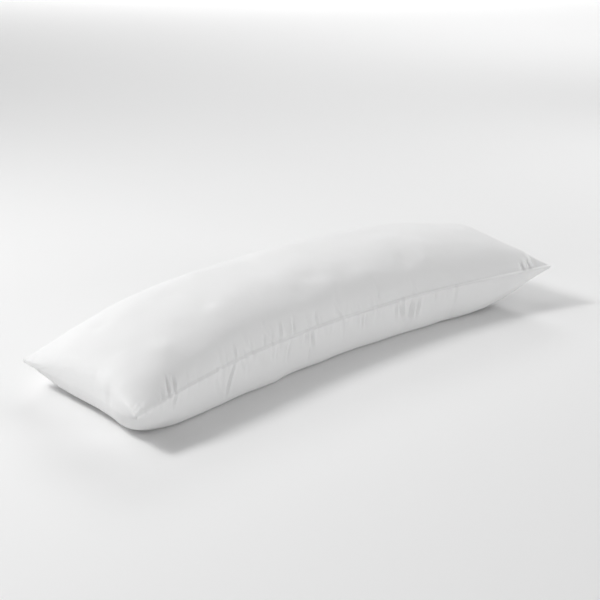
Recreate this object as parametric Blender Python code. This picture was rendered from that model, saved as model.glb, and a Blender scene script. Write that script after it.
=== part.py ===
"""Body pillow: two long cloth panels sewn along a knife-edge seam and filled, lying on its back.

Metres, +Z up, +X along the pillow. The pillow is one closed solid: a top panel and a bottom
panel, each a grid shaped by formulas, welded along the seam that runs round the rim.
u runs from -1 at the left end to 1 at the right end, and v from -1 at the near side to 1 at the
far side.
"""

import bpy
import bmesh
import numpy as np

# Driving dimensions, in metres
LENGTH = 1.330              # between the two short ends, measured at the corners
WIDTH = 0.474               # across a short end
BEND = 0.094                # how far the middle bows towards the far side
CROWN = 0.115               # top of the crown above the seam
SEAM_HEIGHT = 0.105         # seam above the surface, along the long sides
WALL_DEPTH = 0.120          # how far the bottom panel would hang below the seam if nothing held it up
CORNER_HEIGHTS = {"near_left": 0.079, "near_right": 0.114, "far_left": 0.064, "far_right": 0.098}
LEFT_END_SAG = 0.004        # the seam dips this much in the middle of the left end
NEAR_LEFT_PUSH = 0.028      # the near left corner is pushed in towards the middle
FAR_LEFT_PUSH = (0.009, 0.011)      # and the far left one, along and across

# Drawn-in sides: how much of the half width or half length the fill pulls in between corners
SIDE_PULL = 0.069
SIDE_PULL_POWER = 3.71
LEFT_END_PULL = 0.038
RIGHT_END_PULL = 0.033
END_PULL_POWER = 5.0
CORNER_POWER = 4.83         # how near the ends the seam starts to leave its height

# Roundness of the crown and of the bottom: (1 - |u|^p)^q along, (1 - |v|^p)^q across
CROWN_LEFT_END = (2.1, 0.286)
CROWN_RIGHT_END = (5.0, 0.497)
CROWN_NEAR_SIDE = (3.56, 0.705)      # steep above the near seam, then flat on top
CROWN_FAR_SIDE = (1.86, 0.954)
BOTTOM_ALONG = (5.05, 0.44)
BOTTOM_ACROSS = (3.24, 0.253)
EAR_POWERS = (8.0, 3.8)     # the corners go flat like ears as u and v near 1
EAR_FLATNESS = {"near_left": 0.57, "near_right": 0.59, "far": 0.65}

# Grid of each panel, and how much its lines crowd towards the rim
CELLS_ALONG = 90
CELLS_ACROSS = 30
CROWDING = 0.30
WELD_DISTANCE = 0.00005
CORE_HEIGHT = 0.100         # folds press the cloth in towards a core line at this height

# Main folds across the seam. edge: the side they start from; place: metres along that edge from
# its middle; lean: metres along per metre across; above and below: how far they run from the
# seam on the top and bottom panels; width and depth: of the trough.
FOLD_COLUMNS = ("edge", "place", "lean", "above", "below", "width", "depth")
FOLDS = (
    ("near", -0.556, 0.18, 0.045, 0.045, 0.013, 0.009),
    ("near", -0.582, 0.30, 0.040, 0.030, 0.012, 0.005),
    ("near", -0.366, 0.28, 0.040, 0.080, 0.013, 0.009),
    ("near", -0.268, 0.40, 0.030, 0.020, 0.012, 0.004),
    ("near", -0.196, 0.28, 0.045, 0.060, 0.012, 0.007),
    ("near", -0.112, 0.05, 0.035, 0.070, 0.012, 0.008),
    ("near", 0.052, -0.10, 0.025, 0.045, 0.012, 0.005),
    ("near", 0.178, -0.25, 0.030, 0.060, 0.013, 0.008),
    ("near", 0.232, 0.40, 0.030, 0.080, 0.014, 0.011),
    ("near", 0.294, -0.10, 0.025, 0.035, 0.012, 0.004),
    ("near", 0.590, 0.35, 0.045, 0.020, 0.012, 0.006),
    ("far", -0.430, 0.30, 0.070, 0.060, 0.014, 0.008),
    ("far", -0.160, -0.25, 0.060, 0.060, 0.014, 0.007),
    ("far", 0.130, 0.20, 0.070, 0.060, 0.014, 0.008),
    ("far", 0.420, -0.30, 0.060, 0.060, 0.014, 0.007),
    ("left", 0.130, 0.30, 0.050, 0.030, 0.013, 0.006),
    ("left", 0.055, -0.20, 0.040, 0.025, 0.012, 0.005),
    ("left", -0.080, 0.35, 0.045, 0.030, 0.013, 0.006),
    ("right", -0.060, 0.25, 0.060, 0.050, 0.014, 0.007),
    ("right", 0.080, -0.25, 0.050, 0.045, 0.013, 0.006),
)

LINEN_WHITE = (0.86, 0.86, 0.86, 1.0)


def by_half(t, first, second):
    """Give the first value where t is negative and the second where it isn't."""
    return np.where(t < 0, first, second)


def blend(near, far, v):
    """Go evenly from the near side's value to the far side's."""
    share = (1 + v) / 2
    return near * (1 - share) + far * share


def crowd(s):
    """Spread grid lines from even steps so that they are closer together near the rim."""
    return s * (1 + CROWDING * (1 - s * s))


def roundness(t, power, softness):
    """A dome from 1 at t = 0 down to 0 at t = 1 and -1."""
    return np.maximum(1 - np.abs(t) ** power, 0) ** softness


def plan(u, v):
    """Place of a point seen from above: bowed, with sides and ends drawn in between corners."""
    half_width = WIDTH / 2 * (1 - SIDE_PULL * (1 - np.abs(u) ** SIDE_PULL_POWER))
    end_pull = by_half(u, LEFT_END_PULL, RIGHT_END_PULL)
    x = LENGTH / 2 * u * (1 - end_pull * (1 - v * v) * np.abs(u) ** END_PULL_POWER)
    y = BEND * (1 - u * u) + half_width * v
    at_left = ((1 - u) / 2) ** 8
    y = y + NEAR_LEFT_PUSH * at_left * ((1 - v) / 2) ** 3
    far_left = at_left * ((1 + v) / 2) ** 3
    return x + FAR_LEFT_PUSH[0] * far_left, y + FAR_LEFT_PUSH[1] * far_left


def seam_height(u, v):
    """Height of the seam, carried evenly across the pillow between its two long sides."""
    heights = CORNER_HEIGHTS
    at_end = np.abs(u) ** CORNER_POWER
    near = SEAM_HEIGHT + at_end * (by_half(u, heights["near_left"], heights["near_right"]) - SEAM_HEIGHT)
    far = SEAM_HEIGHT + at_end * (by_half(u, heights["far_left"], heights["far_right"]) - SEAM_HEIGHT)
    sag = by_half(u, LEFT_END_SAG, 0) * (1 - v * v) * at_end
    return blend(near, far, v) - sag


def ear_fullness(u, v):
    """Fullness that fades at the corners, where the cloth lies flat as ears."""
    corner = np.abs(u) ** EAR_POWERS[0] * np.abs(v) ** EAR_POWERS[1]
    near = by_half(u, EAR_FLATNESS["near_left"], EAR_FLATNESS["near_right"])
    return 1 - blend(near, EAR_FLATNESS["far"], v) * corner


def smooth_panel(u, v, side):
    """Points of one panel before its folds. side is 1 for the top panel and -1 for the bottom."""
    x, y = plan(u, v)
    seam = seam_height(u, v)
    if side > 0:
        along = by_half(u, roundness(u, *CROWN_LEFT_END), roundness(u, *CROWN_RIGHT_END))
        across = by_half(v, roundness(v, *CROWN_NEAR_SIDE), roundness(v, *CROWN_FAR_SIDE))
        dome = along * across
        z = seam + CROWN * dome * ear_fullness(u, v)
    else:
        bowl = roundness(u, *BOTTOM_ALONG) * roundness(v, *BOTTOM_ACROSS)
        z = np.maximum(seam - WALL_DEPTH * bowl * ear_fullness(u, v), 0)
    return np.stack([x, y, z], axis=-1)


def fold_depth(u, v, points, side):
    """How far the folds press each point in: a sum of soft troughs that cross the seam."""
    edges = {
        "near": (u, -1 + 0 * v, points[:, 0]),
        "far": (u, 1 + 0 * v, points[:, 0]),
        "left": (-1 + 0 * u, v, points[:, 1]),
        "right": (1 + 0 * u, v, points[:, 1]),
    }
    depth = np.zeros(len(u))
    for row in FOLDS:
        fold = dict(zip(FOLD_COLUMNS, row))
        edge_u, edge_v, along = edges[fold["edge"]]
        away = np.linalg.norm(points - smooth_panel(edge_u, edge_v, side), axis=1)
        reach = fold["above"] if side > 0 else fold["below"]
        offset = (along - fold["place"] - fold["lean"] * side * away) / fold["width"]
        fade = np.maximum(1 - (away / reach) ** 2, 0) ** 1.5
        depth += fold["depth"] * np.exp(-offset ** 2) * fade
    return depth


def panel(u, v, side):
    """Points of one panel, with its folds pressed in towards the core line."""
    points = smooth_panel(u, v, side)
    core = np.stack([points[:, 0], BEND * (1 - u * u), CORE_HEIGHT + 0 * u], axis=-1)
    inward = core - points
    inward /= np.maximum(np.linalg.norm(inward, axis=1), CORE_HEIGHT / 2)[:, None]
    points = points + inward * fold_depth(u, v, points, side)[:, None]
    points[:, 2] = np.where(smooth_panel(u, v, side)[:, 2] > 0, np.maximum(points[:, 2], 0), 0)
    return points


def add_panel(mesh, side):
    """Add one panel to the mesh: a flat grid whose points are moved to the filled shape."""
    grid = bmesh.ops.create_grid(mesh, x_segments=CELLS_ALONG, y_segments=CELLS_ACROSS, size=1)
    flat = np.array([vertex.co[:2] for vertex in grid["verts"]])
    points = panel(crowd(flat[:, 0]), crowd(flat[:, 1]), side)
    for vertex, point in zip(grid["verts"], points):
        vertex.co = point
    if side < 0:
        faces = {face for vertex in grid["verts"] for face in vertex.link_faces}
        bmesh.ops.reverse_faces(mesh, faces=list(faces))


def white_cloth():
    """Plain white woven cotton, with no shine."""
    material = bpy.data.materials.new("white_cloth")
    material.use_nodes = True
    shader = material.node_tree.nodes["Principled BSDF"]
    shader.inputs["Base Color"].default_value = LINEN_WHITE
    shader.inputs["Roughness"].default_value = 0.9
    shader.inputs["Metallic"].default_value = 0.0
    material.diffuse_color = LINEN_WHITE
    return material


def make_pillow():
    """The filled pillow as one closed solid, centred over the origin and resting on z = 0."""
    mesh = bmesh.new()
    add_panel(mesh, 1)
    add_panel(mesh, -1)
    bmesh.ops.remove_doubles(mesh, verts=mesh.verts, dist=WELD_DISTANCE)
    points = np.array([vertex.co for vertex in mesh.verts])
    middle = (points.min(axis=0) + points.max(axis=0)) / 2
    bmesh.ops.translate(mesh, verts=mesh.verts, vec=(-middle[0], -middle[1], 0))
    data = bpy.data.meshes.new("pillow")
    mesh.to_mesh(data)
    mesh.free()
    data.shade_smooth()
    data.materials.append(white_cloth())
    return bpy.data.objects.new("pillow", data)


for old in list(bpy.data.objects):
    bpy.data.objects.remove(old)
collection = bpy.data.collections.new("body_pillow")
bpy.context.scene.collection.children.link(collection)
collection.objects.link(make_pillow())
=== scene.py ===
# Body pillow: two panels of white cotton sewn together along a knife edge, filled, lying bowed.
from math import cos, pi, radians, sin

import bpy
import numpy as np
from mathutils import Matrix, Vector


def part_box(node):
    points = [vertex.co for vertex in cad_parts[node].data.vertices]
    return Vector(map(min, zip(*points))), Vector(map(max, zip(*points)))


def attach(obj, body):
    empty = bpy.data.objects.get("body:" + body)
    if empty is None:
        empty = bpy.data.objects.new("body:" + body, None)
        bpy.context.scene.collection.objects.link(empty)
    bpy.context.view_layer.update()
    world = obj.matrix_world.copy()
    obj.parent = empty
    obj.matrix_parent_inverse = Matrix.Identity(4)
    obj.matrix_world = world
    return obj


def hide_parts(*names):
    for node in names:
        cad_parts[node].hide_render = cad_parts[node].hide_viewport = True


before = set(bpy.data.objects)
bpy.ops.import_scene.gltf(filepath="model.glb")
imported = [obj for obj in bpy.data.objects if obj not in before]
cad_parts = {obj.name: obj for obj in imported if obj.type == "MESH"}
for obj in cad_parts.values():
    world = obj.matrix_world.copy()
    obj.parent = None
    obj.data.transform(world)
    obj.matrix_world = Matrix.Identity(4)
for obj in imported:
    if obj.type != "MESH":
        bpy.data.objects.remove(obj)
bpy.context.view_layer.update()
boxLow, boxHigh = (np.array(corner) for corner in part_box("pillow"))

# the filled shape, in metres: u runs from -1 at the left end to 1 at the right one, v from -1 at
# the near side to 1 at the far side
pillow = {
    "length": 1.330,             # between the short ends, at the corners
    "width": 0.474,              # across a short end
    "bend": 0.094,               # how far the middle bows to the far side
    "crown": 0.115,              # top of the crown above the seam
    "seamHeight": 0.105,
    "wallDepth": 0.120,          # how far the bottom would hang below the seam
    "cornerHeights": {"nearLeft": 0.079, "nearRight": 0.114, "farLeft": 0.064, "farRight": 0.098},
    "leftEndSag": 0.004,         # the seam dips this much in the middle of the left end
    "nearLeftPush": 0.028,       # the near left corner is pushed in, across
    "farLeftPush": (0.009, 0.011),       # and the far left one, along and across
    "pushPowers": (8, 3),        # how fast the pushes fade along and across
    "sidePull": 0.069,           # share of the half width that the fill pulls in
    "sidePullPower": 3.71,
    "leftEndPull": 0.038,        # share of the half length, at each end
    "rightEndPull": 0.033,
    "endPullPower": 5.0,
    "cornerPower": 4.83,         # how near the ends the seam leaves its level
    "crownLeftEnd": (2.1, 0.286),        # power and softness of each dome
    "crownRightEnd": (5.0, 0.497),
    "crownNearSide": (3.56, 0.705),
    "crownFarSide": (1.86, 0.954),
    "bottomAlong": (5.05, 0.44),
    "bottomAcross": (3.24, 0.253),
    "earPowers": (8.0, 3.8),     # the corners lie flat like ears
    "earFlatness": {"nearLeft": 0.57, "nearRight": 0.59, "far": 0.65},
}

# the cloth grid: cells before it is made twice as fine
grid = {
    "cellsAlong": 300,
    "cellsAcross": 40,           # of each panel
    "crowding": 0.42,            # how much the lines close up towards the seam
    "crownShare": 0.45,          # rows are spaced by this much of the crown's arc, the rest by x
    "samples": 4001,
}


# by half: the first value where t is negative, else the second
def byHalf(t, first, second):
    return np.where(t < 0, first, second)


# across blend: evenly from the near side's value to the far side's
def acrossBlend(near, far, v):
    share = (1 + v) / 2
    return near * (1 - share) + far * share


# dome: one minus |t| to a power, the result to another power, 1 in the middle and 0 at the rim
def dome(t, power, softness):
    return np.maximum(1 - np.abs(t) ** power, 0) ** softness


# plan: a rectangle bowed by bend times one minus u squared, its sides and ends drawn in by powers
def planPoint(u, v):
    p = pillow
    halfWidth = p["width"] / 2 * (1 - p["sidePull"] * (1 - np.abs(u) ** p["sidePullPower"]))
    endPull = byHalf(u, p["leftEndPull"], p["rightEndPull"])
    x = p["length"] / 2 * u * (1 - endPull * (1 - v * v) * np.abs(u) ** p["endPullPower"])
    y = p["bend"] * (1 - u * u) + halfWidth * v
    powerAlong, powerAcross = p["pushPowers"]
    atLeft = ((1 - u) / 2) ** powerAlong
    farLeft = atLeft * ((1 + v) / 2) ** powerAcross
    y = y + p["nearLeftPush"] * atLeft * ((1 - v) / 2) ** powerAcross
    return x + p["farLeftPush"][0] * farLeft, y + p["farLeftPush"][1] * farLeft


# seam height: level along the sides, turning to each corner's height with a power of u
def seamHeight(u, v):
    p = pillow
    level, corner = p["seamHeight"], p["cornerHeights"]
    atEnd = np.abs(u) ** p["cornerPower"]
    near = level + atEnd * (byHalf(u, corner["nearLeft"], corner["nearRight"]) - level)
    far = level + atEnd * (byHalf(u, corner["farLeft"], corner["farRight"]) - level)
    return acrossBlend(near, far, v) - byHalf(u, p["leftEndSag"], 0) * (1 - v * v) * atEnd


# ears: fullness falls off with high powers of u and v together
def earFullness(u, v):
    p = pillow
    corner = np.abs(u) ** p["earPowers"][0] * np.abs(v) ** p["earPowers"][1]
    near = byHalf(u, p["earFlatness"]["nearLeft"], p["earFlatness"]["nearRight"])
    return 1 - acrossBlend(near, p["earFlatness"]["far"], v) * corner


# panel: the plan, with the seam height plus the crown's dome on top or minus the wall's bowl below
def panelPoints(u, v, side):
    p = pillow
    x, y = planPoint(u, v)
    z = seamHeight(u, v)
    if side > 0:
        along = byHalf(u, dome(u, *p["crownLeftEnd"]), dome(u, *p["crownRightEnd"]))
        across = byHalf(v, dome(v, *p["crownNearSide"]), dome(v, *p["crownFarSide"]))
        z = z + p["crown"] * along * across * earFullness(u, v)
    else:
        bowl = dome(u, *p["bottomAlong"]) * dome(v, *p["bottomAcross"])
        z = np.maximum(z - p["wallDepth"] * bowl * earFullness(u, v), 0)
    return np.stack([x, y, z], axis=-1)


# arc length: the running sum of the steps between points, from 0
def arcLength(points):
    steps = np.linalg.norm(np.diff(points, axis=0), axis=-1)
    return np.concatenate([np.zeros((1,) + steps.shape[1:]), np.cumsum(steps, axis=0)])


# crowded: even steps s from -1 to 1, moved to s times one plus crowding times one minus s squared
def crowded(cells):
    even = np.linspace(-1, 1, cells + 1)
    return even * (1 + grid["crowding"] * (1 - even * even))


# grid lines: rows at even steps of a mix of x and the crown's arc length, and lines across each
# panel at crowded steps of its arc length in the middle
def gridLines(finer):
    dense = np.sin(np.linspace(-pi / 2, pi / 2, grid["samples"]))
    level = 0 * dense
    crownArc = arcLength(panelPoints(dense, level, 1))
    share = grid["crownShare"]
    measure = share * crownArc / crownArc[-1] + (1 - share) * (dense + 1) / 2
    rows = np.interp(np.linspace(0, 1, grid["cellsAlong"] * finer + 1), measure, dense)
    lines = []
    for side in (1, -1):
        arc = arcLength(panelPoints(level, dense, side))
        steps = (crowded(grid["cellsAcross"] * finer) + 1) / 2
        lines.append(np.interp(steps, arc / arc[-1], dense))
    rows[[0, -1]] = (-1, 1)
    return rows, lines[0], lines[1]


# loop points: each row goes round the tube, over the top panel from the near seam to the far one
# and back under the bottom panel; at the two ends the panels share the row
def loopPoints(rows, topLines, bottomLines):
    top = panelPoints(*np.meshgrid(rows, topLines, indexing="ij"), 1)
    bottom = panelPoints(*np.meshgrid(rows, bottomLines[-2:0:-1], indexing="ij"), -1)
    points = np.concatenate([top, bottom], axis=1)
    middle = (points.min(axis=(0, 1)) + points.max(axis=(0, 1))) / 2
    shift = (boxLow + boxHigh) / 2 - middle
    return points + np.array([shift[0], shift[1], 0])


# loop faces: quads between neighbouring rows; the end rows fold shut along the end seam
def loopFaces(rows, around):
    index = np.arange(rows * around).reshape(rows, around)
    inner = np.arange(1, around // 2)
    for end in (0, rows - 1):
        index[end, around - inner] = index[end, inner]
    onward = np.roll(index, -1, axis=1)
    quads = np.stack([index[:-1], index[1:], onward[1:], onward[:-1]], axis=-1)
    return quads.reshape(-1, 4), index


# mesh: only the points that the faces use
def makeMesh(name, points, quads):
    used, compact = np.unique(quads, return_inverse=True)
    mesh = bpy.data.meshes.new(name)
    mesh.from_pydata(points.reshape(-1, 3)[used].tolist(), [], compact.reshape(-1, 4).tolist())
    mesh.update()
    return mesh, used


# the relaxing of the cloth: settings of Blender's Cloth, and how its wrinkles are used
relax = {
    "cut": 1.42,                 # length of the flat panels
    "hold": 0.06,                # how firmly each point is held to the filled shape
    "frames": 20,
    "pressure": 4.0,
    "stiffness": 40.0,
    "shear": 15.0,
    "bending": 0.1,
    "mass": 0.15,
    "damping": 5.0,
    "bendingDamping": 0.5,
    "airDamping": 2.0,
    "quality": 5,
    "smoothAlong": 60,           # passes that part the wrinkles from the slower drift
    "smoothAround": 40,
    "wrinkles": 0.9,
    "crownGain": 0.15,           # share of the wrinkles kept on the crown
    "seamReach": 0.050,
    "otherSeams": 1.6,           # the far seam and the ends count as this much further away
    "leftCalm": 0.080,           # how far from the left end the wrinkles stay weaker
    "limit": 0.012,              # no wrinkle moves the cloth further than this
}


# flat cloth: the length at even rows, and the arc across the top panel in the middle row; what the
# bottom panel is wider hangs down as a shallow V, so both panels meet at the seam
def flatCloth(points):
    rows, around = points.shape[:2]
    half = around // 2
    middleRow = points[rows // 2]
    loop = arcLength(np.concatenate([middleRow, middleRow[:1]]))
    topWidth, bottomWidth = loop[half], loop[-1] - loop[half]
    topArc = loop[:half + 1]
    bottomShare = (loop[-1] - loop[half + 1:-1]) / bottomWidth
    flat = np.zeros_like(points)
    flat[..., 0] = np.linspace(-relax["cut"] / 2, relax["cut"] / 2, rows)[:, None]
    flat[..., 1] = np.concatenate([topArc, bottomShare * topWidth]) - topWidth / 2
    drop = np.sqrt(max(bottomWidth ** 2 - topWidth ** 2, 0)) / 2
    flat[1:-1, half + 1:, 2] = -drop * (1 - np.abs(2 * bottomShare - 1))
    return flat


# relaxed: where Cloth takes the filled shape when its rest shape is the flat panels
def relaxedPoints(points):
    quads, index = loopFaces(*points.shape[:2])
    mesh, used = makeMesh("relaxing", points, quads)
    piece = bpy.data.objects.new("relaxing", mesh)
    bpy.context.scene.collection.objects.link(piece)
    piece.shape_key_add(name="filled")
    rest = piece.shape_key_add(name="flat")
    rest.data.foreach_set("co", flatCloth(points).reshape(-1, 3)[used].ravel().astype(np.float32))
    rest.value = 0
    group = piece.vertex_groups.new(name="hold")
    group.add(range(len(used)), relax["hold"], "REPLACE")
    modifier = piece.modifiers.new("relax", "CLOTH")
    settings = modifier.settings
    settings.quality = relax["quality"]
    settings.mass = relax["mass"]
    settings.tension_stiffness = settings.compression_stiffness = relax["stiffness"]
    settings.shear_stiffness = relax["shear"]
    settings.bending_stiffness = relax["bending"]
    settings.tension_damping = settings.compression_damping = relax["damping"]
    settings.shear_damping = relax["damping"]
    settings.bending_damping = relax["bendingDamping"]
    settings.air_damping = relax["airDamping"]
    settings.use_pressure = True
    settings.uniform_pressure_force = relax["pressure"]
    settings.effector_weights.gravity = 0
    settings.rest_shape_key = rest
    settings.vertex_group_mass = "hold"
    settings.pin_stiffness = 1
    modifier.collision_settings.use_collision = False
    modifier.point_cache.frame_end = relax["frames"]
    for step in range(1, relax["frames"] + 1):
        bpy.context.scene.frame_set(step)
    evaluated = piece.evaluated_get(bpy.context.evaluated_depsgraph_get())
    out = np.empty(len(used) * 3, np.float32)
    evaluated.data.vertices.foreach_get("co", out)
    bpy.context.scene.frame_set(1)
    bpy.data.objects.remove(piece)
    bpy.data.meshes.remove(mesh)
    full = np.zeros((points.size // 3, 3))
    full[used] = out.reshape(-1, 3)
    return full[index.ravel()].reshape(points.shape)


# smoothed: each pass replaces a value by a quarter of each neighbour and half of itself
def smoothed(field, along, around):
    for _ in range(along):
        wide = np.concatenate([field[:1], field, field[-1:]])
        field = (wide[:-2] + 2 * wide[1:-1] + wide[2:]) / 4
    for _ in range(around):
        field = (np.roll(field, 1, 1) + 2 * field + np.roll(field, -1, 1)) / 4
    return field


# finer: a value between two lines is nine sixteenths of each minus a sixteenth of the next ones
def finer(field):
    wide = np.concatenate([field[:1], field, field[-1:]])
    between = (9 * (wide[1:-2] + wide[2:-1]) - wide[:-3] - wide[3:]) / 16
    rows = np.empty((2 * len(field) - 1,) + field.shape[1:])
    rows[::2], rows[1::2] = field, between
    between = (9 * (rows + np.roll(rows, -1, 1)) - np.roll(rows, 1, 1) - np.roll(rows, -2, 1)) / 16
    return np.stack([rows, between], axis=2).reshape(len(rows), -1, 3)


# wrinkles: the relaxed cloth's shift less its smoothed shift, softly limited
def clothWrinkles():
    points = loopPoints(*gridLines(1))
    shift = relaxedPoints(points) - points
    drift = smoothed(shift, relax["smoothAlong"], relax["smoothAround"])
    wrinkles = (shift - drift) * relax["wrinkles"]
    size = np.maximum(np.linalg.norm(wrinkles, axis=-1, keepdims=True), 1e-9)
    return finer(wrinkles * relax["limit"] * np.tanh(size / relax["limit"]) / size)


# wrinkle gain: from the crown's gain up to 1 at the seams, by exp of minus the squared distance
# over the reach, and in the same way down to 0 at the left end
def wrinkleGain(charts):
    nearest = np.abs(charts["near"][1])
    for edge in ("far", "left", "right"):
        nearest = np.minimum(nearest, np.abs(charts[edge][1]) * relax["otherSeams"])
    low = relax["crownGain"]
    gain = low + (1 - low) * np.exp(-(nearest / relax["seamReach"]) ** 2)
    return (gain * (1 - np.exp(-(charts["left"][1] / relax["leftCalm"]) ** 2)))[..., None]


# edge charts: for each edge, metres along it and metres away from it, the running arc length over
# the top panel counted from 0 up and under the bottom panel from 0 down
def edgeCharts(points):
    half = points.shape[1] // 2
    bottom = np.concatenate([points[:, :1], points[:, :half - 1:-1]], axis=1)
    overTop = arcLength(points[:, :half + 1].transpose(1, 0, 2)).T
    underBottom = arcLength(bottom.transpose(1, 0, 2)).T
    fromNear = np.concatenate([overTop, -underBottom[:, -2:0:-1]], axis=1)
    farTop = overTop[:, -1:] - overTop
    farBottom = underBottom[:, -2:0:-1] - underBottom[:, -1:]
    fromFar = np.concatenate([farTop, farBottom], axis=1)
    sign = np.where(np.arange(points.shape[1]) <= half, 1, -1)
    fromLeft = arcLength(points) * sign
    fromRight = arcLength(points[::-1])[::-1] * sign
    x, y = points[..., 0], points[..., 1]
    return {
        "near": (x, fromNear),
        "far": (x, fromFar),
        "left": (y, fromLeft),
        "right": (y, fromRight),
    }


# outward: the unit cross product of the two grid directions
def outward(points):
    along = np.gradient(points, axis=0)
    around = np.roll(points, -1, 1) - np.roll(points, 1, 1)
    normal = np.cross(along, around)
    return normal / np.maximum(np.linalg.norm(normal, axis=-1, keepdims=True), 1e-9)


creaseStrength = 0.85            # all creases are scaled by this
creasePower = 1.4                # of the bell across a crease

# creases: each runs from one place to another, both given as metres along the edge and metres away
# from it, more than 0 on the top panel and less than 0 on the bottom one; then its width, its
# height, less than 0 where it is a trough, and how far it bows to one side
creases = {
    "near": (
        (-0.575, 0.030, -0.585, -0.002, 0.0040, -0.0030, 0.001),
        (-0.566, 0.040, -0.575, 0.002, 0.0036, 0.0022, 0.001),
        (-0.556, 0.046, -0.565, -0.004, 0.0038, -0.0064, 0.002),
        (-0.549, 0.040, -0.557, -0.002, 0.0030, 0.0026, 0.002),
        (-0.542, 0.040, -0.549, -0.006, 0.0036, -0.0054, 0.001),
        (-0.534, 0.030, -0.541, 0.000, 0.0030, 0.0022, 0.001),
        (-0.546, 0.006, -0.556, -0.040, 0.0036, -0.0056, 0.002),
        (-0.540, -0.002, -0.549, -0.030, 0.0032, 0.0026, 0.002),
        (-0.372, 0.000, -0.393, -0.084, 0.0038, -0.0052, 0.004),
        (-0.365, 0.000, -0.385, -0.080, 0.0034, 0.0042, 0.004),
        (-0.364, 0.040, -0.366, -0.002, 0.0036, -0.0034, -0.002),
        (-0.357, 0.036, -0.358, -0.002, 0.0032, 0.0026, -0.002),
        (-0.352, -0.002, -0.338, -0.040, 0.0036, -0.0032, 0.001),
        (-0.330, -0.002, -0.318, -0.034, 0.0034, 0.0024, 0.001),
        (-0.264, 0.030, -0.273, 0.001, 0.0034, -0.0030, 0.001),
        (-0.230, -0.004, -0.238, -0.050, 0.0036, -0.0024, 0.002),
        (-0.213, 0.044, -0.220, 0.001, 0.0034, -0.0028, 0.001),
        (-0.204, 0.044, -0.211, 0.001, 0.0034, 0.0032, 0.001),
        (-0.196, -0.004, -0.208, -0.062, 0.0034, 0.0028, 0.003),
        (-0.186, -0.004, -0.198, -0.062, 0.0036, -0.0040, 0.003),
        (-0.173, 0.046, -0.183, 0.001, 0.0034, 0.0032, 0.001),
        (-0.166, 0.046, -0.175, 0.001, 0.0034, -0.0034, 0.001),
        (-0.150, -0.002, -0.152, -0.040, 0.0034, 0.0024, 0.001),
        (-0.140, 0.002, -0.138, -0.036, 0.0034, -0.0032, 0.001),
        (-0.130, 0.002, -0.126, -0.040, 0.0034, 0.0034, 0.001),
        (-0.120, -0.002, -0.111, -0.058, 0.0036, -0.0044, 0.003),
        (-0.111, -0.002, -0.103, -0.052, 0.0034, 0.0030, 0.003),
        (-0.118, -0.040, -0.127, -0.080, 0.0040, -0.0036, 0.003),
        (-0.095, 0.040, -0.101, 0.004, 0.0036, -0.0032, 0.001),
        (0.036, 0.002, 0.042, -0.044, 0.0034, 0.0026, 0.001),
        (0.045, 0.002, 0.052, -0.044, 0.0034, -0.0032, 0.001),
        (0.054, -0.002, 0.056, -0.050, 0.0034, 0.0026, 0.002),
        (0.062, -0.004, 0.064, -0.052, 0.0034, -0.0028, 0.002),
        (0.160, -0.002, 0.168, -0.060, 0.0036, -0.0028, 0.002),
        (0.168, -0.002, 0.178, -0.060, 0.0036, 0.0040, 0.002),
        (0.177, -0.002, 0.190, -0.060, 0.0036, -0.0050, 0.003),
        (0.190, 0.006, 0.202, -0.060, 0.0038, 0.0050, 0.003),
        (0.216, -0.006, 0.214, -0.066, 0.0044, -0.0056, 0.002),
        (0.232, -0.008, 0.226, -0.070, 0.0040, 0.0052, 0.003),
        (0.242, -0.006, 0.234, -0.066, 0.0036, -0.0040, 0.002),
        (0.252, -0.002, 0.246, -0.060, 0.0036, 0.0034, 0.002),
        (0.222, -0.050, 0.182, -0.078, 0.0046, -0.0050, 0.003),
        (0.294, -0.002, 0.294, -0.030, 0.0036, -0.0034, 0.000),
        (0.330, -0.002, 0.334, -0.034, 0.0036, -0.0018, 0.000),
        (0.579, 0.026, 0.570, 0.000, 0.0034, 0.0052, 0.000),
        (0.587, 0.030, 0.580, 0.000, 0.0030, -0.0050, 0.000),
        (0.597, 0.034, 0.591, -0.002, 0.0038, 0.0078, 0.000),
        (0.608, 0.034, 0.603, 0.000, 0.0034, -0.0046, 0.000),
        (0.618, 0.048, 0.614, 0.000, 0.0046, 0.0078, 0.000),
    ),
    "far": (
        (-0.430, 0.070, -0.452, -0.060, 0.0060, -0.0050, 0.004),
        (-0.160, 0.060, -0.140, -0.060, 0.0060, -0.0050, 0.003),
        (0.130, 0.070, 0.120, -0.060, 0.0060, -0.0050, -0.003),
        (0.420, 0.060, 0.440, -0.060, 0.0060, -0.0050, 0.003),
    ),
    "left": (
        (0.100, 0.045, 0.092, -0.020, 0.0050, -0.0022, 0.002),
        (0.035, 0.040, 0.010, -0.025, 0.0050, -0.0018, 0.002),
        (-0.060, 0.050, -0.075, -0.025, 0.0050, -0.0018, -0.002),
        (-0.110, 0.040, -0.125, -0.025, 0.0045, -0.0018, 0.002),
    ),
    "right": (
        (-0.060, 0.060, -0.075, -0.050, 0.0060, -0.0045, 0.003),
        (0.080, 0.050, 0.095, -0.045, 0.0055, -0.0040, -0.002),
    ),
}


# crease height: a bell across the crease, exp of minus distance over width to the crease power,
# times one minus the square of the place along it, counted from -1 to 1
def creaseHeight(place, away, row):
    startPlace, startAway, endPlace, endAway, width, height, bow = row
    runPlace, runAway = endPlace - startPlace, endAway - startAway
    length = np.hypot(runPlace, runAway)
    runPlace, runAway = runPlace / length, runAway / length
    t = ((place - startPlace) * runPlace + (away - startAway) * runAway) / length * 2 - 1
    fade = np.maximum(1 - t * t, 0)
    off = (place - startPlace) * runAway - (away - startAway) * runPlace - bow * fade
    return height * np.exp(-np.abs(off / width) ** creasePower) * fade


# crease relief: the sum of all creases, scaled
def creaseRelief(charts):
    total = 0
    for edge, rows in creases.items():
        for row in rows:
            total = total + creaseHeight(*charts[edge], row)
    return total * creaseStrength


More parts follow.
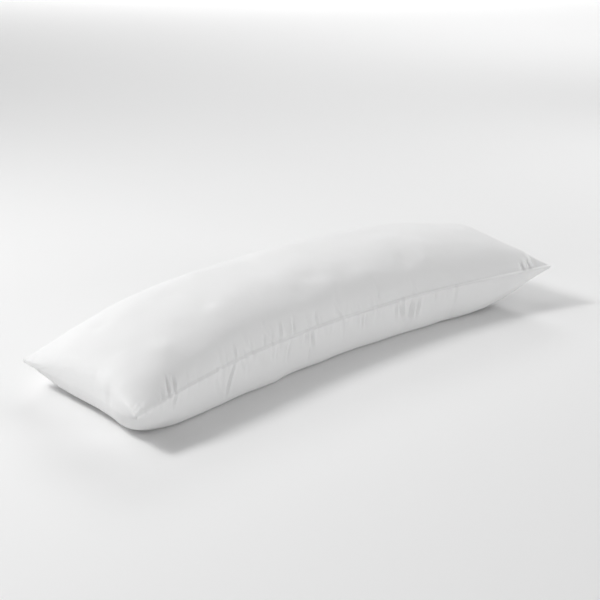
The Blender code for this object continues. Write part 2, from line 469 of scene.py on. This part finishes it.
# small puckers along the seam: how many cross each edge, and the ranges they are drawn from
puckers = {
    "seed": 7,
    "count": {"near": 110, "far": 100, "left": 24, "right": 26},
    "reach": (0.012, 0.046),
    "width": (0.0028, 0.0048),
    "height": (-0.0018, 0.0014),
    "lean": 0.25,
    "smoothFrom": 0.28,          # along the near side, past where they are weaker
    "smoothShare": 0.25,
}


# puckers: short creases across the seam at even places, each moved, leant and sized at random
def puckerRelief(charts):
    random = np.random.RandomState(puckers["seed"])
    total = 0
    for edge, count in puckers["count"].items():
        place, away = charts[edge]
        onSeam = np.abs(away) < 1e-9
        low, high = place[onSeam].min(), place[onSeam].max()
        step = (high - low) / count
        for start in low + step * (np.arange(count) + random.uniform(0, 1, count)):
            above, below = random.uniform(*puckers["reach"], 2)
            lean = random.uniform(-puckers["lean"], puckers["lean"])
            width = random.uniform(*puckers["width"])
            height = random.uniform(*puckers["height"])
            if edge == "near" and start > puckers["smoothFrom"]:
                height *= puckers["smoothShare"]
            row = (start + lean * above, above, start - lean * below, -below, width, height, 0.0)
            total = total + creaseHeight(place, away, row)
    return total


# soft lobes of the fill on the top panel: metres along and away from the near seam, half lengths
# along and away, and height
lobes = (
    (-0.020, 0.085, 0.030, 0.026, 0.0040),
    (0.085, 0.088, 0.034, 0.020, 0.0040),
    (0.234, 0.095, 0.018, 0.026, -0.0050),
    (0.292, 0.082, 0.022, 0.022, 0.0042),
    (-0.060, 0.125, 0.030, 0.020, -0.0030),
    (0.150, 0.060, 0.045, 0.018, -0.0030),
    (-0.090, 0.365, 0.100, 0.070, -0.0055),
    (0.190, 0.357, 0.060, 0.070, 0.0035),
    (0.555, 0.240, 0.045, 0.060, 0.0090),
    (-0.450, 0.073, 0.035, 0.022, -0.0040),
    (-0.540, 0.105, 0.030, 0.026, 0.0035),
)


# lobe relief: each lobe is its height times exp of minus the squared distances over its half
# lengths
def lobeRelief(charts):
    x, away = charts["near"]
    return sum(height * np.exp(-((x - middle) / along) ** 2 - ((away - middleAway) / across) ** 2)
               for middle, middleAway, along, across, height in lobes)


# lumps of the fill: soft bells at random places on both panels, their half widths and heights
lumps = {
    "seed": 4,
    "count": 190,
    "lowest": -0.12,             # metres below the near seam
    "width": (0.020, 0.052),
    "height": (-0.0038, 0.0038),
    "seamFade": 0.03,            # they fade out this near the seam
}


# lump relief: each lump is exp of minus the squared distance over its width, on x and the arc
def lumpRelief(charts):
    random = np.random.RandomState(lumps["seed"])
    x, away = charts["near"]
    total = 0
    for _ in range(lumps["count"]):
        middle = random.uniform(x.min(), x.max()), random.uniform(lumps["lowest"], away.max())
        width, height = random.uniform(*lumps["width"]), random.uniform(*lumps["height"])
        squared = (x - middle[0]) ** 2 + (away - middle[1]) ** 2
        total = total + height * np.exp(-squared / width ** 2)
    nearest = np.minimum.reduce([np.abs(away) for place, away in charts.values()])
    return total * (1 - np.exp(-nearest / lumps["seamFade"]))


# evenly: from the first value to the second as the place goes from one end to the other
def evenly(ends, place, low, high):
    share = np.clip((place - low) / (high - low), 0, 1)
    return ends[0] * (1 - share) + ends[1] * share


# the seam: the top panel's edge is drawn in by the tuck and the bottom panel's stands out as a
# ledge; strength goes from one end of each edge to its other end and scales the painted highlight
# too
seam = {
    "tuck": 0.0006,
    "tuckWidth": 0.020,
    "ledge": 0.0050,
    "ledgeWidth": 0.045,
    "step": 0.0026,
    "edge": 0.0020,              # half width of the painted highlight along the seam's edge
    "strength": {
        "near": (0.45, 1.0),
        "far": (0.6, 0.6),
        "left": (0.05, 0.05),
        "right": (0.4, 0.4),
    },
}


# seam relief: a soft step, tanh of the distance over the step, from the ledge to the tuck, each of
# them fading by exp of minus the distance over its width
def seamRelief(charts):
    total = 0
    for edge, ends in seam["strength"].items():
        place, away = charts[edge]
        axis = 0 if edge in ("near", "far") else 1
        above = (1 + np.tanh(away / seam["step"])) / 2
        tuck = seam["tuck"] * np.exp(-np.abs(away) / seam["tuckWidth"])
        ledge = seam["ledge"] * np.exp(-np.abs(away) / seam["ledgeWidth"])
        strength = evenly(ends, place, boxLow[axis], boxHigh[axis])
        total = total + strength * (ledge * (1 - above) - tuck * above)
    return total


# painted highlight along the seam: exp of minus the squared distance over the edge's half width,
# times strength; it whitens the cloth's colour where light caught by the seam's edge is painted
def seamHighlightMask(charts):
    total = 0
    for edge, ends in seam["strength"].items():
        place, away = charts[edge]
        axis = 0 if edge in ("near", "far") else 1
        bell = np.exp(-(away / seam["edge"]) ** 2)
        total = np.maximum(total, bell * evenly(ends, place, boxLow[axis], boxHigh[axis]))
    return total


swellEndPower = 8                # how near the two ends the swells fade out

# swells of the near side: metres away from the seam, half width and height
swells = (
    (0.065, 0.030, 0.0025),
    (-0.085, 0.030, 0.0055),
    (-0.106, 0.022, 0.0085),
)


# swell relief: bells along the near side, fading to nothing at the two ends
def swellRelief(charts):
    place, away = charts["near"]
    fade = 1 - (2 * (place - boxLow[0]) / (boxHigh[0] - boxLow[0]) - 1) ** swellEndPower
    return fade * sum(high * np.exp(-((away - at) / width) ** 2) for at, width, high in swells)


# the near side's foot: how far the cloth just above the floor is pressed out, up to what height,
# and how near the two ends it fades out
foot = {"push": 0.012, "height": 0.034, "endPower": 6}


# pressed: low points of the near half of the bottom move towards the near side, by one minus the
# height over the foot's height, squared, fading from the near seam to the middle and to the ends
def pressed(points):
    around = points.shape[1]
    nearHalf = np.clip(np.arange(around) / around * 4 - 3, 0, 1)
    low = np.clip(1 - points[..., 2] / foot["height"], 0, 1) ** 2
    ends = 1 - np.abs(points[..., 0] / boxHigh[0]).clip(0, 1) ** foot["endPower"]
    move = foot["push"] * low * nearHalf * ends
    return points + move[..., None] * np.array([0, -1, 0])


# soft corners: how far from each corner the cloth is eased, how much, and with how many passes
softCorners = {
    "reach": 0.115,
    "passes": 260,
    "nearLeft": 1.0,
    "farLeft": 0.15,
    "nearRight": 0.25,
    "farRight": 0.30,
    "leftEnd": 0.7,              # the left end is eased by this much over endReach, with endPasses
    "endReach": 0.035,
    "endPasses": 50,
}


# softened: near each corner the points are mixed with smoothed ones, by one minus the squared
# distance over reach, squared, times the corner's share
def softened(points):
    half = points.shape[1] // 2
    corners = {
        "nearLeft": (0, 0),
        "farLeft": (0, half),
        "nearRight": (-1, 0),
        "farRight": (-1, half),
    }
    eased = smoothed(points, softCorners["passes"], softCorners["passes"])
    share = 0
    for name, (row, line) in corners.items():
        away = np.linalg.norm(points - points[row, line], axis=-1)
        bell = np.maximum(1 - (away / softCorners["reach"]) ** 2, 0) ** 2
        share = share + bell * softCorners[name]
    share = share[..., None]
    points = points * (1 - share) + eased * share
    eased = smoothed(points, softCorners["endPasses"], softCorners["endPasses"])
    fromEnd = arcLength(points)
    share = (softCorners["leftEnd"] * np.exp(-(fromEnd / softCorners["endReach"]) ** 2))[..., None]
    return points * (1 - share) + eased * share


# cloth map: metres along the pillow and metres round it, both along the middle lines, so that the
# threads keep their size
def mapCloth(mesh, points):
    rows, around = points.shape[:2]
    middleRow = points[rows // 2]
    roundMiddle = arcLength(np.concatenate([middleRow, middleRow[:1]]))
    along = arcLength(points[:, around // 4])
    row, line = np.meshgrid(np.arange(rows - 1), np.arange(around), indexing="ij")
    cornerRows = np.stack([row, row + 1, row + 1, row], axis=-1)
    cornerLines = np.stack([line, line, line + 1, line + 1], axis=-1)
    corners = np.stack([along[cornerRows], roundMiddle[cornerLines]], axis=-1)
    layer = mesh.uv_layers.new(name="clothMap")
    layer.data.foreach_set("uv", corners.ravel().astype(np.float32))


# pillow: the filled shape with its foot pressed and its corners softened, then moved by the
# wrinkles, and along its outward directions by the sum of the reliefs
def makePillow():
    points = softened(pressed(loopPoints(*gridLines(2))))
    charts = edgeCharts(points)
    points = points + clothWrinkles() * wrinkleGain(charts)
    print("cloth: relaxed")
    relief = lobeRelief(charts) + creaseRelief(charts) + puckerRelief(charts)
    relief = relief + seamRelief(charts) + swellRelief(charts) + lumpRelief(charts)
    points = points + outward(points) * relief[..., None]
    points[..., 2] = np.maximum(points[..., 2], 0)
    quads, index = loopFaces(*points.shape[:2])
    mesh, used = makeMesh("pillowCloth", points, quads)
    mapCloth(mesh, points)
    # painted highlight mask, kept on the points for the cloth's colour
    highlightAttribute = mesh.attributes.new("seamHighlightMask", "FLOAT", "POINT")
    highlightAttribute.data.foreach_set("value", seamHighlightMask(charts).ravel()[used].astype(np.float32))
    piece = bpy.data.objects.new("pillow_cloth", mesh)
    bpy.context.scene.collection.objects.link(piece)
    mesh.shade_smooth()
    print("pillow:", len(mesh.polygons), "quads")
    return piece


# value: a node's output socket in an expression, whose maths adds Math nodes
class Value:
    def __init__(self, graph, socket):
        self.graph = graph
        self.socket = socket

    def maths(self, operation, *others):
        values = dict(enumerate((self,) + others))
        return self.graph.add("ShaderNodeMath", {"operation": operation}, values)

    def flipped(self, operation, other):
        return self.graph.add("ShaderNodeMath", {"operation": operation}, {0: other, 1: self})

    def sibling(self, name):
        return Value(self.graph, self.socket.node.outputs[name])

    def __add__(self, other):
        return self.maths("ADD", other)

    def __sub__(self, other):
        return self.maths("SUBTRACT", other)

    def __mul__(self, other):
        return self.maths("MULTIPLY", other)

    def __radd__(self, other):
        return self.flipped("ADD", other)

    def __rsub__(self, other):
        return self.flipped("SUBTRACT", other)

    def __rmul__(self, other):
        return self.flipped("MULTIPLY", other)


# graph: the nodes of one material
class Graph:
    def __init__(self, name):
        self.material = bpy.data.materials.new(name)
        self.material.use_nodes = True
        self.tree = self.material.node_tree
        self.shader = self.tree.nodes["Principled BSDF"]

    def fill(self, node, sockets):
        for name, value in sockets.items():
            if isinstance(value, Value):
                self.tree.links.new(value.socket, node.inputs[name])
            else:
                node.inputs[name].default_value = value

    def add(self, kind, settings, sockets, output=0):
        node = self.tree.nodes.new(kind)
        for name, value in settings.items():
            setattr(node, name, value)
        self.fill(node, sockets)
        return Value(self, node.outputs[output])

    # mixed: sockets 0, 6 and 7 of Mix are its factor and two colours, and output 2 is its colour
    def mixed(self, share, first, second):
        return self.add("ShaderNodeMix", {"data_type": "RGBA"}, {0: share, 6: first, 7: second}, 2)

    def noise(self, place, scale, detail=2.0):
        sockets = {"Vector": place, "Scale": scale, "Detail": detail}
        return self.add("ShaderNodeTexNoise", {"noise_dimensions": "3D"}, sockets)


def grey(level):
    return (level, level, level, 1.0)


# degrees, metres, and the lens in millimetres
camera = {
    "azimuth": -42.68,
    "elevation": 19.68,
    "distance": 2.8,
    "target": (0.0429, 0.0486, 0.08),
    "focal": 66.13,
    "sensor": 36.0,
}


def makeCamera():
    a, e = radians(camera["azimuth"]), radians(camera["elevation"])
    back = np.array([sin(a) * cos(e), -cos(a) * cos(e), sin(e)])
    data = bpy.data.cameras.new("camera")
    data.lens = camera["focal"]
    data.sensor_width = camera["sensor"]
    eye = bpy.data.objects.new("camera", data)
    eye.location = np.array(camera["target"]) + back * camera["distance"]
    eye.rotation_euler = (pi / 2 - e, 0, a)
    bpy.context.scene.collection.objects.link(eye)
    bpy.context.scene.camera = eye


# lamps: a disc of light at a place, which faces the pillow or straight down, or a soft far light
# from a direction and of an angle across
lamps = {
    "key": {"place": (-2.30, 1.82, 3.00), "across": 1.06, "power": 82},
    "rightFill": {"place": (3.03, 0.0, 1.75), "across": 2.0, "power": 12},
    "frontFill": {"place": (1.52, -2.62, 1.00), "across": 2.0, "power": 3},
    "backSky": {"from": (-0.321, 0.557, 0.766), "across": 60, "power": 0.88},
    "frontSky": {"from": (0.0, -0.643, 0.766), "across": 60, "power": 0.12},
    "overRight": {"place": (1.00, -0.70, 1.60), "across": 1.2, "power": 0.9, "down": True},
    "lowFront": {"from": (0.497, -0.860, 0.120), "across": 20, "power": 1.00},
    "lowLeft": {"from": (-0.960, -0.220, 0.174), "across": 30, "power": 0.40},
    "nearBackdrop": {"place": (6.0, 2.5, 4.0), "across": 3.0, "power": 56, "down": True},
    "farBackdrop": {"place": (12, 13, 8), "across": 8.0, "power": 1560, "down": True},
}
sky = 0.17                       # strength of the even white light from all round
aimedAt = Vector((0, 0, 0.1))    # what the discs of light face
downward = Vector((0, 0, -1))


def makeLights():
    for name, lamp in lamps.items():
        isDisc = "place" in lamp
        data = bpy.data.lights.new(name, "AREA" if isDisc else "SUN")
        data.energy = lamp["power"]
        piece = bpy.data.objects.new(name, data)
        if isDisc:
            data.shape = "DISK"
            data.size = lamp["across"]
            piece.location = lamp["place"]
            aim = downward if lamp.get("down") else aimedAt - piece.location
        else:
            data.angle = radians(lamp["across"])
            aim = -Vector(lamp["from"])
            piece.location = -3 * aim
        piece.rotation_euler = aim.to_track_quat("-Z", "Y").to_euler()
        bpy.context.scene.collection.objects.link(piece)
    world = bpy.data.worlds.new("studio")
    bpy.context.scene.world = world
    world.use_nodes = True
    background = world.node_tree.nodes["Background"]
    background.inputs["Color"].default_value = grey(1)
    background.inputs["Strength"].default_value = sky


floorPaint = {
    "size": 40.0,                # of the floor's side, in metres
    "colour": 0.850,
    "cloud": 0.846,              # colour in the cloudy places
    "cloudScale": 2.5,           # clouds to a metre
    "roughness": 0.90,
    "cloudRough": 0.05,          # how much the clouds change the roughness
}


# painted floor: a flat pale grey with a faint, wide noise in colour and roughness
def floorMaterial():
    graph = Graph("floorPaint")
    place = graph.add("ShaderNodeTexCoord", {}, {}, "Object")
    cloud = graph.noise(place, floorPaint["cloudScale"], 3.0)
    colour = graph.mixed(cloud, grey(floorPaint["colour"]), grey(floorPaint["cloud"]))
    rough = floorPaint["roughness"] + (cloud - 0.5) * floorPaint["cloudRough"]
    graph.fill(graph.shader, {"Base Color": colour, "Roughness": rough})
    return graph.material


def makeFloor():
    mesh = bpy.data.meshes.new("floor")
    half = floorPaint["size"] / 2
    corners = [(-half, -half, 0), (half, -half, 0), (half, half, 0), (-half, half, 0)]
    mesh.from_pydata(corners, [], [(0, 1, 2, 3)])
    piece = bpy.data.objects.new("floor", mesh)
    bpy.context.scene.collection.objects.link(piece)
    mesh.materials.append(floorMaterial())


cotton = {
    "colour": 0.850,
    "shade": 0.815,              # colour in the thinner places
    "seamHighlightColour": 0.950,         # colour of the painted highlight along the seam's edge
    "threads": 2600,             # to a metre
    "slub": 0.35,                # how much the threads swell and thin
    "slubScales": (30, 900),     # slubs to a metre along a thread and across it
    "slubShade": 0.25,           # how much slubs and clouds shade the colour
    "cloudShade": 0.6,
    "cloudScale": 6.0,           # clouds to a metre
    "roughness": 0.88,
    "threadRough": 0.04,         # how much threads and clouds change the roughness
    "cloudRough": 0.06,
    "threadHeight": 0.00012,
    "ripple": 22.0,              # small ripples to a metre, and their height
    "rippleHeight": 0.0009,
}


# plain weave: the product of two sine waves, one across each thread direction; slubs are noise
# drawn out along the threads; the colour goes from colour to shade with a slow noise and the
# slubs, and to a painted highlight's whiter colour along the seam's edge
def makeCloth(piece):
    c = cotton
    graph = Graph("whiteCotton")
    place = graph.add("ShaderNodeUVMap", {"uv_map": "clothMap"}, {}, "UV")
    along = graph.add("ShaderNodeSeparateXYZ", {}, {"Vector": place}, "X")
    around = along.sibling("Y")
    turns = c["threads"] * pi
    weave = (along * turns).maths("SINE") * (around * turns).maths("SINE")
    few, many = c["slubScales"]
    drawnAlong = graph.add("ShaderNodeCombineXYZ", {}, {"X": along * few, "Y": around * many})
    drawnAround = graph.add("ShaderNodeCombineXYZ", {}, {"X": along * many, "Y": around * few})
    slubs = graph.noise(drawnAlong, 1.0) + graph.noise(drawnAround, 1.0) - 1
    thread = weave * 0.5 + slubs * c["slub"]
    body = graph.add("ShaderNodeTexCoord", {}, {}, "Object")
    cloud = graph.noise(body, c["cloudScale"], 3.0)
    ripple = graph.noise(body, c["ripple"], 3.0)
    thin = (1 - cloud) * c["cloudShade"] + slubs * c["slubShade"]
    colour = graph.mixed(thin.maths("MAXIMUM", 0), grey(c["colour"]), grey(c["shade"]))
    # painted highlight: the cloth is mixed to a whiter colour along the seam's edge, standing in
    # for light that the edge catches
    edge = graph.add("ShaderNodeAttribute", {"attribute_name": "seamHighlightMask"}, {}, "Fac")
    colour = graph.mixed(edge, colour, grey(c["seamHighlightColour"]))
    height = thread * c["threadHeight"] + ripple * c["rippleHeight"]
    bump = graph.add("ShaderNodeBump", {}, {"Strength": 1.0, "Distance": 1.0, "Height": height})
    rough = c["roughness"] + thread * c["threadRough"] + (cloud - 0.5) * c["cloudRough"]
    graph.fill(graph.shader, {"Base Color": colour, "Roughness": rough, "Normal": bump})
    piece.data.materials.append(graph.material)
    print("cloth: white cotton")


bpy.context.scene.view_settings.view_transform = "Standard"
makeCamera()
makeLights()
makeFloor()
print("studio: camera, lamps and floor")
cloth = makePillow()
makeCloth(cloth)
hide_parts("pillow")
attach(cloth, "root")
